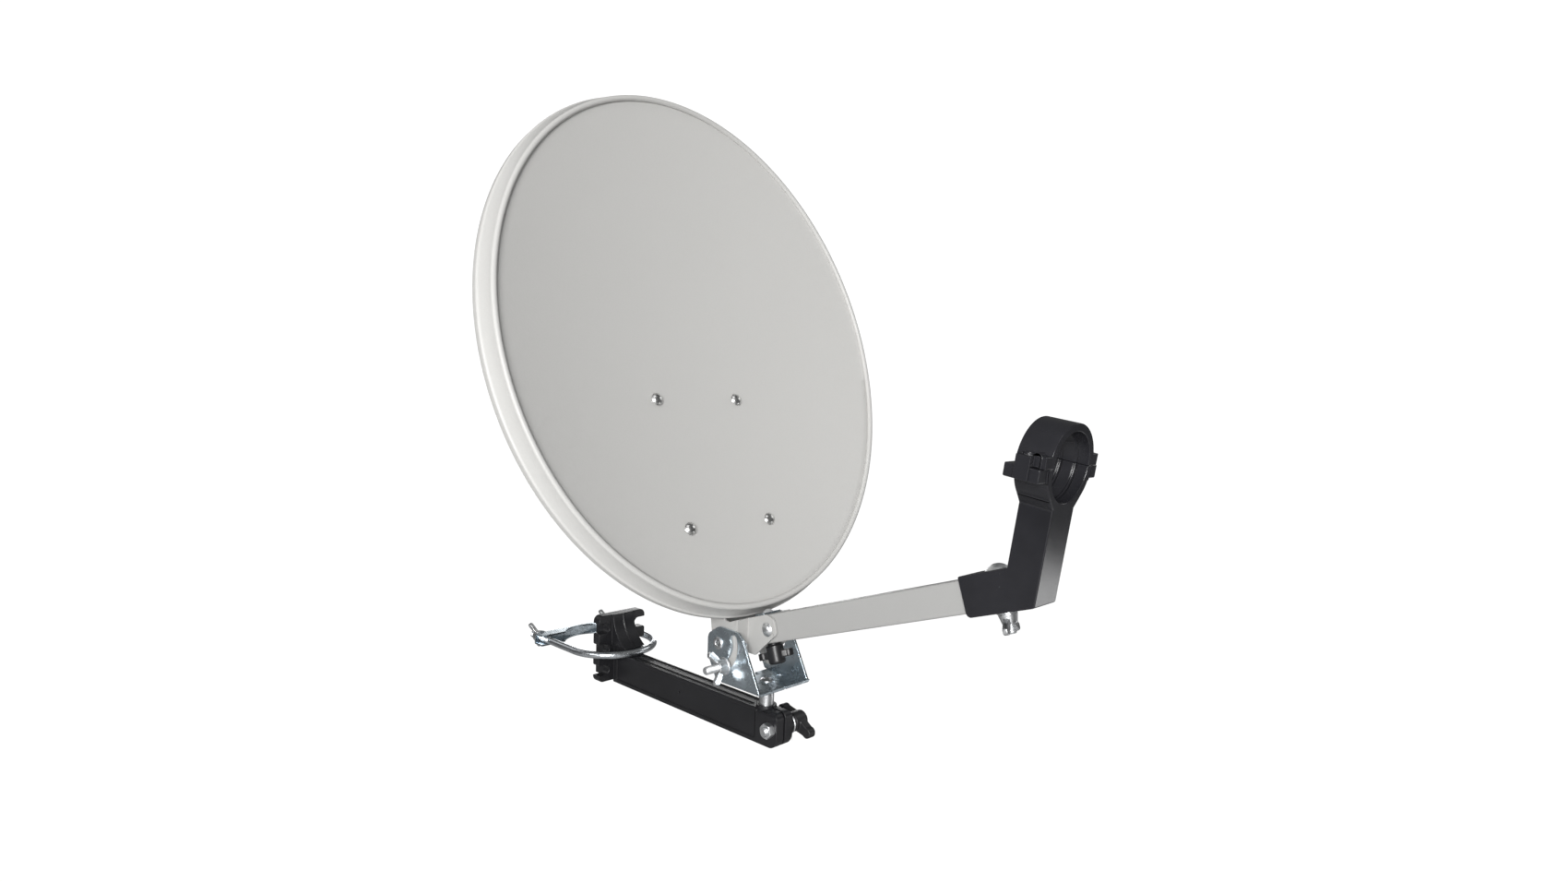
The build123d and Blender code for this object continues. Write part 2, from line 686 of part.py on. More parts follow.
# ---------------------------------------------------------------- feed arm
def arm_box(along_low, along_high, half_height, half_width):
    """Bar along the feed arm."""
    plane = Plane(origin=arm_point(along_low, 0), x_dir=(0, 1, 0), z_dir=arm_along)
    return plane * extrude(Rectangle(2 * half_width, 2 * half_height), along_high - along_low)


def cross_pin(along, radius, length=60.0):
    """Hole cutter square to the arm, through its top and bottom."""
    return rod(radius, arm_point(along, -length), arm_point(along, length))


def pivot_bore():
    ends = ((arm_pivot_x, -30, arm_pivot_z), (arm_pivot_x, 30, arm_pivot_z))
    return rod(3.0 + running_clearance, *ends)


def feed_arm():
    half = arm_size / 2
    outer = arm_box(arm_rear, arm_front, half, half)
    length = arm_front - arm_rear
    outer = fillet(outer.edges().filter_by(lambda edge: abs(edge.length - length) < 0.1), 1.5)
    tube = outer - arm_box(arm_rear - 1, arm_front + 1, half - arm_wall, half - arm_wall)
    tube -= pivot_bore()
    return tube - cross_pin(lock_bolt_at - 0.8, 2.6) - cross_pin(holder_bolt_at, 3.1)


def arm_bush():
    """Sleeve round the pivot rivet, inside the tube."""
    half = arm_size / 2 - arm_wall
    outer = rod(4.6, (arm_pivot_x, -half, arm_pivot_z), (arm_pivot_x, half, arm_pivot_z))
    return outer - pivot_bore()


def arm_end_plug():
    inner = arm_size / 2 - arm_wall
    cap = arm_box(arm_rear - 1.5, arm_rear, arm_size / 2 - 0.3, arm_size / 2 - 0.3)
    return cap + arm_box(arm_rear, arm_rear + 4.0, inner, inner)


def lock_axis(across):
    return arm_point(lock_bolt_at - 0.8, across)


def lock_plate():
    """Zinc square that spreads the lock bolt's head on the tube."""
    plane = Plane(origin=lock_axis(arm_size / 2), x_dir=arm_along, z_dir=arm_across)
    return plane * (extrude(Rectangle(9.4, 17.0), 1.6) - upright(2.6, 6, -1))


def lock_bolt():
    plane = Plane(origin=lock_axis(arm_size / 2 + 1.6), x_dir=arm_along, z_dir=-arm_across)
    head = (dome(4.3, 2.2)).rotate(Axis.X, 180)
    return plane * (head + upright(2.5, arm_size + 11.4))


def lock_knob():
    hole = 2.5 + running_clearance
    knob = wing_knob(hole, 10.5, hub_radius=6.2, height=13.4, span=12.8, lobe=3.4, blade=5.0)
    plane = Plane(origin=lock_axis(-arm_size / 2 - 0.2), x_dir=(0.78, 0.58, 0.26), z_dir=-arm_across)
    return plane * knob


# ---------------------------------------------------------------- LNB holder
lnb_axis = Vector(cos(radians(lnb_droop)), 0, -sin(radians(lnb_droop)))
lnb_up = Vector(sin(radians(lnb_droop)), 0, cos(radians(lnb_droop)))
lnb_front = Vector(lnb_x, 0, lnb_z)


def lnb_point(out, up, y=0.0):
    """Point measured from the centre of the ring's front face, forward and upward."""
    return lnb_front + lnb_axis * out + lnb_up * up + Vector(0, y, 0)


def lnb_block(out_low, out_high, up_low, up_high, y_low, y_high):
    """Box square to the ring's axis."""
    plane = Plane(origin=lnb_point(out_low, up_low, y_low), x_dir=(0, 1, 0), z_dir=lnb_axis)
    face = Rectangle(y_high - y_low, up_high - up_low, align=(Align.MIN, Align.MIN))
    if plane.y_dir.dot(lnb_up) < 0:
        face = Rectangle(y_high - y_low, up_high - up_low, align=(Align.MIN, Align.MAX))
    return plane * extrude(face, out_high - out_low)


def ring_band(outer, out_low, out_high):
    return rod(outer, lnb_point(out_low, 0), lnb_point(out_high, 0))


def ring_bore():
    """Bore with two shallow grooves that grip the LNB's neck."""
    bore = ring_band(lnb_radius, -lnb_ring_width - 1, 1)
    for out in (-17.0, -7.8):
        bore += ring_band(lnb_radius + 0.9, out - 0.9, out + 0.9)
    return bore


def holder_socket():
    half = arm_size / 2 + socket_wall
    body = arm_box(socket_start, 218.0, half, half)
    return body


def shoulder():
    """Flare between the post and the ring."""
    half = arm_size / 2 + socket_wall
    points = [(-17.2, -15.0), (17.2, -15.0), (17.0, -18.0),
              (half, -23.5), (-half, -23.5), (-17.0, -18.0)]
    plane = Plane(origin=lnb_point(-lnb_ring_width, 0), x_dir=(0, 1, 0), z_dir=lnb_axis)
    if plane.y_dir.dot(lnb_up) < 0:
        points = [(across, -up) for across, up in points]
    return plane * extrude(outline(points), lnb_ring_width)


def lnb_holder():
    half = arm_size / 2 + socket_wall
    width = lnb_ring_width
    post = lnb_block(-width, 0, -95.0, -12.0, -half, half)
    underside = Plane(origin=arm_point(0, -half), x_dir=arm_along, z_dir=arm_across)
    below = underside * Pos(150, 0, -60) * Box(300, 80, 120)
    ahead = lnb_block(0, 60, -120, 20, -40, 40)
    body = holder_socket() - ahead + (post - below)
    body = fillet(body.edges().filter_by(Axis.Y).sort_by(Axis.Z)[0], 3.0)
    lower_ring = ring_band(lnb_ring_outer, -width, 0) & lnb_block(-width, 0, -40, 0, -40, 40)
    bars = lnb_block(-width - 1.6, -0.8, -7.7, 0, -bar_half, -22.0)
    body += lower_ring + bars + mirror(bars, Plane.XZ) + shoulder()
    body -= ring_bore()
    body -= arm_box(socket_start - 1, arm_front + 0.3, arm_size / 2 + 0.02, arm_size / 2 + 0.02)
    body -= cross_pin(holder_bolt_at, 3.1)
    for side in (-1, 1):
        across = side * screw_across
        body -= rod(1.8, lnb_point(screw_out, -12, across), lnb_point(screw_out, 4, across))
        body -= nut_pocket(side)
    return body


def nut_pocket(side):
    """Hex pocket under each bar for the cap screw's nut."""
    pocket = extrude(RegularPolygon(3.1, 6, major_radius=False), 4.0)
    return Plane(origin=lnb_point(screw_out, -8.5, side * screw_across), z_dir=lnb_up) * pocket


def lnb_cap():
    """Upper half of the ring, with flanges, a tab that hooks over each bar and a round-topped lug."""
    width = lnb_ring_width
    upper = ring_band(lnb_ring_outer, -width, 0) & lnb_block(-width, 0, 0.15, 40, -40, 40)
    flange = lnb_block(-width + 5.2, 0, 0.15, 6.8, -29.5, -20.0)
    tab_top = lnb_block(-width + 5.2, -6.6, 0.15, 6.0, -bar_half - 1.7, -29.0)
    tab = lnb_block(-width + 5.2, -6.6, -7.2, 6.0, -bar_half - 1.7, -bar_half - 0.2)
    lug_side = lnb_block(-7.9, -2.6, 0.15, 5.6, -30.2, -24.0)
    lug_round = rod(2.65, lnb_point(-5.25, 5.6, -30.2), lnb_point(-5.25, 5.6, -24.0))
    side = flange + tab_top + tab + lug_side + lug_round
    recess = lnb_block(-7.2, -3.3, 0.8, 5.6, -31.0, -29.6)
    side -= recess + rod(1.95, lnb_point(-5.25, 5.6, -31), lnb_point(-5.25, 5.6, -29.6))
    body = upper + side + mirror(side, Plane.XZ) - ring_bore()
    for direction in (-1, 1):
        across = direction * screw_across
        body -= rod(1.8, lnb_point(screw_out, -1, across), lnb_point(screw_out, 12, across))
        body -= rod(3.6, lnb_point(screw_out, 3.0, across), lnb_point(screw_out, 12, across))
    return body


def cap_screws():
    """Pan-head screws that stay captive in the cap."""
    screws = []
    for side in (-1, 1):
        across = side * screw_across
        shank = rod(1.5, lnb_point(screw_out, -7.2, across), lnb_point(screw_out, 3.0, across))
        head = rod(3.2, lnb_point(screw_out, 3.0, across), lnb_point(screw_out, 5.4, across))
        slot = lnb_block(screw_out - 3.5, screw_out + 3.5, 4.5, 7.0, across - 0.4, across + 0.4)
        screws.append(shank + head - slot)
    return group(screws)


def cap_nuts():
    nuts = []
    for side in (-1, 1):
        nut = extrude(RegularPolygon(3.0, 6, major_radius=False), 2.6) - upright(1.6, 5, -1)
        nuts.append(Plane(origin=lnb_point(screw_out, -7.4, side * screw_across), z_dir=lnb_up) * nut)
    return group(nuts)


def holder_bolt():
    half = arm_size / 2 + socket_wall
    bolt = carriage_bolt(3.0, 2 * half + 13.0, 7.0, 3.4)
    return Plane(origin=arm_point(holder_bolt_at, half), x_dir=arm_along, z_dir=-arm_across) * bolt


def holder_washer():
    half = arm_size / 2 + socket_wall
    return place(washer(6.2, 3.1, 1.2), arm_point(holder_bolt_at, -half), -arm_across)


def holder_wing_nut():
    half = arm_size / 2 + socket_wall
    nut = wing_nut(3.0 + running_clearance)
    origin = arm_point(holder_bolt_at, -half - 1.3)
    return Plane(origin=origin, x_dir=(-0.24, 0.97, 0.0), z_dir=-arm_across) * nut


# ---------------------------------------------------------------- write the nodes
near_rivet = pivot_rivet()
nodes = {
    "support_arm": support_arm(),
    "u_bolt": u_bolt(),
    "azimuth_nut": azimuth_nut(),
    "azimuth_washer": azimuth_washer(),
    "azimuth_stud": azimuth_stud(),
    "azimuth_knob": azimuth_knob(),
    "clamp_strap": clamp_strap(),
    "strap_washers": strap_washers(),
    "strap_wing_nut_near": strap_wing_nut(-1),
    "strap_wing_nut_far": strap_wing_nut(1),
    "elevation_bracket": elevation_bracket(),
    "swivel_stub": swivel_stub(),
    "pivot_rivet_near": near_rivet,
    "pivot_rivet_far": mirror(near_rivet, Plane.XZ),
    "reflector": reflector(),
    "dish_bolts": dish_bolts(),
    "dish_spacers": dish_spacers(),
    "dish_washers": dish_washers(),
    "dish_nuts": dish_nuts(),
    "back_bracket": back_bracket(),
    "bracket_rivets": bracket_rivets(),
    "arm_pivot_rivet": arm_pivot_rivet(),
    "elevation_bolts": elevation_bolts(),
    "elevation_washers": elevation_washers(),
    "elevation_wing_nut_near": elevation_wing_nut(-1),
    "elevation_wing_nut_far": elevation_wing_nut(1),
    "feed_arm": feed_arm(),
    "arm_bush": arm_bush(),
    "arm_end_plug": arm_end_plug(),
    "lock_plate": lock_plate(),
    "lock_bolt": lock_bolt(),
    "lock_knob": lock_knob(),
    "lnb_holder": lnb_holder(),
    "lnb_cap": lnb_cap(),
    "cap_screws": cap_screws(),
    "cap_nuts": cap_nuts(),
    "holder_bolt": holder_bolt(),
    "holder_washer": holder_washer(),
    "holder_wing_nut": holder_wing_nut(),
}
for name, part in nodes.items():
    save(part, name)
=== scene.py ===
"""Looks of the satellite dish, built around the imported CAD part.

Places are written in millimetres in the part's own frame and turned into metres by mm(). The
origin is on the mast's axis at the height of the U-bolt. +X points to the dish's front, -Y is the
near side and +Z is up. A place given by two numbers is an x and a z.
"""
import json
from math import acos, cos, degrees, pi, radians, sin, sqrt, tan

import bmesh
import bpy
from mathutils import Matrix, Vector


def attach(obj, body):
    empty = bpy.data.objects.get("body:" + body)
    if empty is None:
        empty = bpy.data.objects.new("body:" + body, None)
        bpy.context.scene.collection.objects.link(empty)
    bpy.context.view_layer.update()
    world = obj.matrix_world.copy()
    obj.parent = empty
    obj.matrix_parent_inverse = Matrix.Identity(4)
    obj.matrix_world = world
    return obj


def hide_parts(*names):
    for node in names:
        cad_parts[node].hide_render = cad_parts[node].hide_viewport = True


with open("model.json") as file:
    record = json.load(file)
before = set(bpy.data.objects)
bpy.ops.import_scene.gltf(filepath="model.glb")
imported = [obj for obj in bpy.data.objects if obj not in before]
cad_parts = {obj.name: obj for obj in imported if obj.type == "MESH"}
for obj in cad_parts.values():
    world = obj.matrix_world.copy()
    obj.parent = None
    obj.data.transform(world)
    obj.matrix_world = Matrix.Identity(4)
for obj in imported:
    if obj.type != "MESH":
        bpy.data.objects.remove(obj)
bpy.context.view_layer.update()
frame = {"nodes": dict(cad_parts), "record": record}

# -------------------------------------------------------- sizes shared with the CAD source, in mm
M5_RADIUS, M5_PITCH = 2.5, 0.8
M6_RADIUS, M6_PITCH = 3.0, 1.0

U_BOLT_BEND_RADIUS = 37.0
U_BOLT_BEND_X = 26.0
U_BOLT_LEG_END = -41.0
STRAP_REAR = -27.0

BEAM_HALF = 8.1
CLAMP_BOLT = (232.0, -15.5)
CLAMP_WASHER_Y = 10.5
CLAMP_STUD_END = 22.8
STUB_X = 220.0
STUB_FOOT = -28.0

HEAD_HALF = 25.5
HEAD_FLOOR = 13.9
HEAD_SHEET = 2.0
PIVOT = (194.8, 42.7)
ELEVATION_BOLT = (202.165, 27.6)
ELEVATION_BOLT_END = 44.4

WALL_INNER = 21.2
EAR_OUTER = 12.3
ARM_PIVOT = (230.8, 57.8)
STEP_X = 211.5
BRACKET_RIVET_Y = 15.6
BRACKET_RIVET_Z = 43.4

APERTURE_RADIUS = 180.0
APERTURE_HEIGHT = 200.0
FOCAL_LENGTH = 235.0
OFFSET_ANGLE = acos(APERTURE_RADIUS / APERTURE_HEIGHT)
RIM_TILT = radians(17.4)
RIM_CENTRE = (152.8, 0.0, 259.7)
REFLECTOR_SHEET = 1.2
DISH_BOLT_ROWS = (-136.0, -36.0)
DISH_BOLT_Y = 40.0

ARM_RISE = radians(18.5)
ARM_SIZE = 20.0
LOCK_BOLT_AT = -8.8
LOCK_PLATE_SHEET = 1.6
HOLDER_BOLT_AT = 187.0
SOCKET_HALF = 12.2

SHARP_ANGLE = 32.0
CAD_SHARP_ANGLE = 30.0


# -------------------------------------------------------------------------------- small helpers
def mm(x, y, z):
    """A place given in millimetres, in metres."""
    return Vector((x, y, z)) / 1000.0


def placed(origin, axis, x_dir=(1.0, 0.0, 0.0)):
    """Matrix, in mm, that puts a shape drawn along +Z at an origin, pointing along an axis."""
    z_axis = Vector(axis).normalized()
    x_axis = Vector(x_dir) - z_axis * Vector(x_dir).dot(z_axis)
    if x_axis.length < 1e-3:
        x_axis = Vector((0.0, 0.0, 1.0)) - z_axis * z_axis.z
    x_axis.normalize()
    turn = Matrix((x_axis, z_axis.cross(x_axis), z_axis)).transposed().to_4x4()
    return Matrix.Translation(Vector(origin)) @ turn


def both_sides(x, y, z, outward=1):
    """Places on the near and far side, pointing away from the middle, or to it with -1."""
    return [placed((x, side * y, z), (0, side * outward, 0)) for side in (-1, 1)]


def turn_angles(segments):
    """Angles of a full turn, in radians."""
    return [2 * pi * number / segments for number in range(segments)]


def mesh_from(name, points, faces):
    """Mesh from points in mm."""
    mesh = bpy.data.meshes.new(name)
    mesh.from_pydata([Vector(point) / 1000.0 for point in points], [], faces)
    mesh.validate()
    return mesh


def shade_by_angle(mesh, angle):
    """Smooth shading, with edges sharper than the angle kept sharp."""
    bm = bmesh.new()
    bm.from_mesh(mesh)
    bmesh.ops.recalc_face_normals(bm, faces=bm.faces)
    for face in bm.faces:
        face.smooth = True
    for edge in bm.edges:
        edge.smooth = len(edge.link_faces) == 2 and edge.calc_face_angle(0.0) < radians(angle)
    bm.to_mesh(mesh)
    bm.free()


# -------------------------------------------------------------------------- shapes in mesh code
def soft(profile, radius=0.25, steps=3):
    """Profile with each inner corner rounded, over at most 0.4 of the side that is shorter."""
    points = [Vector(point) for point in profile]
    rounded = [points[0]]
    for before, corner, after in zip(points, points[1:], points[2:]):
        back, ahead = before - corner, after - corner
        reach = min(radius, back.length * 0.4, ahead.length * 0.4)
        start = corner + back.normalized() * reach
        end = corner + ahead.normalized() * reach
        for step in range(steps + 1):
            t = step / steps
            rounded.append(start * (1 - t) ** 2 + corner * 2 * t * (1 - t) + end * t * t)
    rounded.append(points[-1])
    return [(point.x, point.y) for point in rounded]


def arc(centre, radius, start, end, steps):
    """Points of a flat arc, its angles in degrees."""
    angles = [radians(start + (end - start) * step / steps) for step in range(steps + 1)]
    return [(centre[0] + radius * cos(angle), centre[1] + radius * sin(angle))
            for angle in angles]


def dome_profile(radius, height, steps=10):
    """Cap of a sphere from its rim to its crown."""
    ball = (radius * radius + height * height) / (2 * height)
    reach = degrees(acos((ball - height) / ball))
    return arc((0.0, height - ball), ball, 90.0 - reach, 90.0, steps)


class Solid:
    """Mesh put together from rings of points, all in mm."""

    def __init__(self):
        self.points = []
        self.faces = []

    def rings(self, rings, where=None, closed=False):
        """Skin over rings of equal length; a ring of one point closes an end."""
        where = where or Matrix()
        starts = []
        for ring in rings:
            starts.append(len(self.points))
            self.points.extend(where @ Vector(point) for point in ring)
        pairs = list(zip(range(len(rings)), range(1, len(rings))))
        if closed:
            pairs.append((len(rings) - 1, 0))
        for low, high in pairs:
            count = max(len(rings[low]), len(rings[high]))
            for number in range(count):
                following = (number + 1) % count
                corners = []
                for ring, places in ((low, (number, following)), (high, (following, number))):
                    for place in places:
                        corner = starts[ring] + (place if len(rings[ring]) > 1 else 0)
                        if corner not in corners:
                            corners.append(corner)
                self.faces.append(corners)
        return self

    def lathe(self, profile, where=None, segments=48, closed=False):
        """Profile of (radius, height) turned round the Z axis."""
        rings = []
        for radius, height in profile:
            if radius < 1e-6:
                rings.append([(0.0, 0.0, height)])
            else:
                rings.append([(radius * cos(angle), radius * sin(angle), height)
                              for angle in turn_angles(segments)])
        return self.rings(rings, where, closed)

    def thread(self, radius, start, end, where, pitch):
        """Threaded rod on the Z axis with chamfered ends."""
        depth, chamfer, steepness = 0.42, 0.8, 1.6
        rows_per_turn, segments = 8, 32
        rows = int((end - start) / pitch * rows_per_turn)
        rings = [[(0.0, 0.0, start)]]
        for row in range(rows + 1):
            height = start + (end - start) * row / rows
            limit = radius - max(0.0, chamfer - min(height - start, end - height))
            ring = []
            for number, angle in enumerate(turn_angles(segments)):
                phase = (height / pitch - number / segments) % 1.0
                cut = depth * min(1.0, steepness * abs(2 * phase - 1))
                reach = min(limit, radius - cut)
                ring.append((reach * cos(angle), reach * sin(angle), height))
            rings.append(ring)
        rings.append([(0.0, 0.0, end)])
        return self.rings(rings, where)

    def hex_nut(self, flats, height, bore, where):
        """Nut on the XY plane, its corners chamfered at both ends and its bore countersunk."""
        countersink, chamfer_slope = 0.5, 0.7
        face_radius = flats / 2 * 0.98
        rings = [[] for _ in range(8)]
        for angle in turn_angles(72):
            reach = flats / 2 / cos((angle + pi / 6) % (pi / 3) - pi / 6)
            drop = max(0.0, reach - face_radius) * chamfer_slope
            inner = min(reach, face_radius)
            outline = [(bore, countersink), (bore + countersink, 0.0), (inner, 0.0),
                       (reach, drop), (reach, height - drop), (inner, height),
                       (bore + countersink, height), (bore, height - countersink)]
            for ring, (radius, level) in zip(rings, outline):
                ring.append((radius * cos(angle), radius * sin(angle), level))
        return self.rings(rings, where, closed=True)

    def washer(self, outer, bore, thickness, where):
        """Washer on the XY plane, stamped, so its edges differ a little."""
        profile = [(bore, 0.15), (bore + 0.15, 0.0), (outer - 0.25, 0.0), (outer, 0.2),
                   (outer, thickness - 0.25), (outer - 0.3, thickness),
                   (bore + 0.15, thickness), (bore, thickness - 0.15)]
        return self.lathe(profile, where, closed=True)

    def bolt(self, where, radius, pitch, length, head_radius, head_height, thread_from):
        """Dome-headed bolt: head below the XY plane, shank up, threaded to its tip."""
        crown = [(r, -z) for r, z in reversed(dome_profile(head_radius, head_height))]
        self.lathe([*crown, (radius, 0.0), (radius, thread_from), (0.0, thread_from)], where)
        return self.thread(radius, thread_from - 0.4, length, where, pitch)

    def tubular_rivet(self, where, flange, barrel, hollow, height, lip):
        """Hollow rivet with a rolled flange, its barrel running down from the XY plane."""
        profile = [(hollow, -height), (hollow, lip * 0.4), (hollow + 0.5, lip),
                   (flange - 0.7, lip), (flange, lip * 0.45), (flange, 0.0), (barrel, 0.0),
                   (barrel, -height)]
        return self.lathe(soft(profile, 0.35), where, closed=True)

    def mesh(self, name, angle):
        made = mesh_from(name, self.points, self.faces)
        shade_by_angle(made, angle)
        return made


# ------------------------------------------------------------------------------------ materials
class Shader:
    """Short way to write a node material around one Principled shader."""

    def __init__(self, name, roughness, metallic=0.0, **sockets):
        self.material = bpy.data.materials.new(name)
        self.material.use_nodes = True
        self.tree = self.material.node_tree
        self.surface = self.tree.nodes["Principled BSDF"]
        self.surface.inputs["Roughness"].default_value = roughness
        self.surface.inputs["Metallic"].default_value = metallic
        for socket, value in sockets.items():
            self.surface.inputs[socket.replace("_", " ")].default_value = value
        self.place = self.node("ShaderNodeTexCoord").outputs["Object"]

    def node(self, kind, **settings):
        made = self.tree.nodes.new(kind)
        for key, value in settings.items():
            setattr(made, key, value)
        return made

    def link(self, output, target):
        self.tree.links.new(output, target)

    def stretched(self, scale):
        """Object coordinates scaled along each axis."""
        mapping = self.node("ShaderNodeMapping")
        mapping.inputs["Scale"].default_value = scale
        self.link(self.place, mapping.inputs["Vector"])
        return mapping.outputs["Vector"]

    def noise(self, scale, detail=2.0, rough=0.5, where=None):
        texture = self.node("ShaderNodeTexNoise")
        texture.inputs["Scale"].default_value = scale
        texture.inputs["Detail"].default_value = detail
        texture.inputs["Roughness"].default_value = rough
        self.link(where or self.place, texture.inputs["Vector"])
        return texture.outputs["Fac"]

    def ramp(self, factor, stops):
        """Colour ramp whose stops are (place, colour)."""
        ramp = self.node("ShaderNodeValToRGB")
        elements = ramp.color_ramp.elements
        while len(elements) < len(stops):
            elements.new(0.5)
        for element, (place, colour) in zip(elements, stops):
            element.position = place
            element.color = (*colour, 1.0)
        self.link(factor, ramp.inputs["Fac"])
        return ramp.outputs["Color"]

    def spread(self, factor, low, high, start=0.35, end=0.65):
        """Number from start to end mapped to one from low to high."""
        mapped = self.node("ShaderNodeMapRange")
        mapped.inputs["From Min"].default_value = start
        mapped.inputs["From Max"].default_value = end
        mapped.inputs["To Min"].default_value = low
        mapped.inputs["To Max"].default_value = high
        self.link(factor, mapped.inputs["Value"])
        return mapped.outputs["Result"]

    def add(self, first, second, weight=1.0):
        """first plus weight times second."""
        total = self.node("ShaderNodeMath", operation="MULTIPLY_ADD")
        self.link(second, total.inputs[0])
        total.inputs[1].default_value = weight
        self.link(first, total.inputs[2])
        return total.outputs["Value"]

    def colour(self, output):
        self.link(output, self.surface.inputs["Base Color"])

    def roughness(self, output):
        self.link(output, self.surface.inputs["Roughness"])

    def bump(self, height, distance):
        """Bump whose relief is distance metres deep."""
        bump = self.node("ShaderNodeBump")
        bump.inputs["Distance"].default_value = distance
        self.link(height, bump.inputs["Height"])
        self.link(bump.outputs["Normal"], self.surface.inputs["Normal"])


def shades(colour, spread):
    """Three stops round a colour, darker to lighter."""
    darker = tuple(channel * (1 - spread) for channel in colour)
    lighter = tuple(min(1.0, channel * (1 + spread)) for channel in colour)
    return [(0.30, darker), (0.5, colour), (0.70, lighter)]


def powder_coat(name, colour, peel):
    """Painted steel: fine orange peel, faint pigment speckle and an uneven gloss."""
    paint = Shader(name, 0.42, Specular_IOR_Level=0.45)
    speckle = paint.noise(2600.0, detail=1.0)
    drift = paint.noise(9.0)
    paint.colour(paint.ramp(paint.add(speckle, drift, 0.15), shades(colour, 0.035)))
    paint.roughness(paint.spread(paint.noise(420.0), 0.36, 0.50))
    coarse_peel, fine_peel = paint.noise(520.0), paint.noise(1500.0, detail=1.0)
    paint.bump(paint.add(coarse_peel, fine_peel, 0.35), peel)
    return paint.material


def bright_zinc(name, colour, rough, mottle, scale, streak=(1.0, 1.0, 1.0)):
    """Zinc plating: bluish metal, cloudy passivation, faint streaks and soft ripples."""
    zinc = Shader(name, rough, metallic=1.0)
    cloud = zinc.noise(scale, detail=5.0, rough=0.6)
    grain = zinc.noise(1.0, detail=3.0, rough=0.6, where=zinc.stretched(streak))
    zinc.colour(zinc.ramp(zinc.add(cloud, zinc.noise(900.0), 0.12), shades(colour, mottle)))
    gloss = zinc.add(cloud, grain, 0.35)
    zinc.roughness(zinc.spread(gloss, rough * 0.75, rough * 1.45, start=0.45, end=0.85))
    ripple = zinc.add(zinc.noise(260.0, detail=3.0), grain, 0.35)
    zinc.bump(zinc.add(ripple, zinc.noise(1800.0, detail=1.0), 0.08), 0.00009)
    return zinc.material


def satin_plastic(name, colour, rough, grain=0.00003):
    """Black moulding: spark-eroded grain, slight flow marks and a cloudy gloss."""
    plastic = Shader(name, rough, Specular_IOR_Level=0.5)
    flow = plastic.noise(22.0, detail=3.0, rough=0.6)
    plastic.colour(plastic.ramp(flow, shades(colour, 0.22)))
    gloss = plastic.add(flow, plastic.noise(700.0), 0.5)
    plastic.roughness(plastic.spread(gloss, rough * 0.82, rough * 1.22, start=0.5, end=1.0))
    plastic.bump(plastic.add(plastic.noise(1500.0), plastic.noise(350.0), 0.5), grain)
    return plastic.material


def natural_nylon(name):
    nylon = Shader(name, 0.45, Subsurface_Weight=0.1)
    nylon.colour(nylon.ramp(nylon.noise(60.0, detail=3.0), shades((0.72, 0.70, 0.63), 0.06)))
    nylon.bump(nylon.noise(900.0), 0.00002)
    return nylon.material


# Finish of each material slot
FINISHES = {
    "black_moulding": satin_plastic("moulding_black", (0.010, 0.010, 0.0115), rough=0.36,
                                    grain=0.00004),
    "black_holder": satin_plastic("holder_black", (0.017, 0.017, 0.020), rough=0.23,
                                  grain=0.00002),
    "black_knob": satin_plastic("knob_black", (0.013, 0.013, 0.014), rough=0.36),
    "black_trim": satin_plastic("trim_black", (0.018, 0.018, 0.018), rough=0.45),
    "spacer_plastic": satin_plastic("spacer_black", (0.03, 0.03, 0.03), rough=0.5),
    "bush_plastic": natural_nylon("natural_nylon"),
    "dish_paint": powder_coat("dish_powder_coat", (0.515, 0.51, 0.495), peel=0.00005),
    "bracket_paint": powder_coat("bracket_powder_coat", (0.40, 0.397, 0.386), peel=0.00004),
    "arm_paint": powder_coat("arm_powder_coat", (0.35, 0.348, 0.341), peel=0.00004),
    "dish_bolt_paint": bright_zinc("dish_bolt_zinc", (0.62, 0.62, 0.61), rough=0.26,
                                   mottle=0.05, scale=200.0),
    "zinc_sheet": bright_zinc("zinc_plated_sheet", (0.55, 0.62, 0.67), rough=0.24,
                              mottle=0.10, scale=110.0, streak=(260.0, 260.0, 40.0)),
    "zinc_rod": bright_zinc("zinc_plated_rod", (0.68, 0.71, 0.74), rough=0.22,
                            mottle=0.07, scale=160.0, streak=(60.0, 500.0, 500.0)),
    "zinc_pin": bright_zinc("zinc_plated_pin", (0.70, 0.71, 0.72), rough=0.30,
                            mottle=0.06, scale=240.0, streak=(120.0, 120.0, 1500.0)),
    "zinc_fastener": bright_zinc("zinc_plated_fastener", (0.76, 0.77, 0.78), rough=0.36,
                                 mottle=0.06, scale=260.0),
    "zinc_wing_nut": bright_zinc("zinc_cast_nut", (0.70, 0.71, 0.72), rough=0.33,
                                 mottle=0.08, scale=300.0),
}

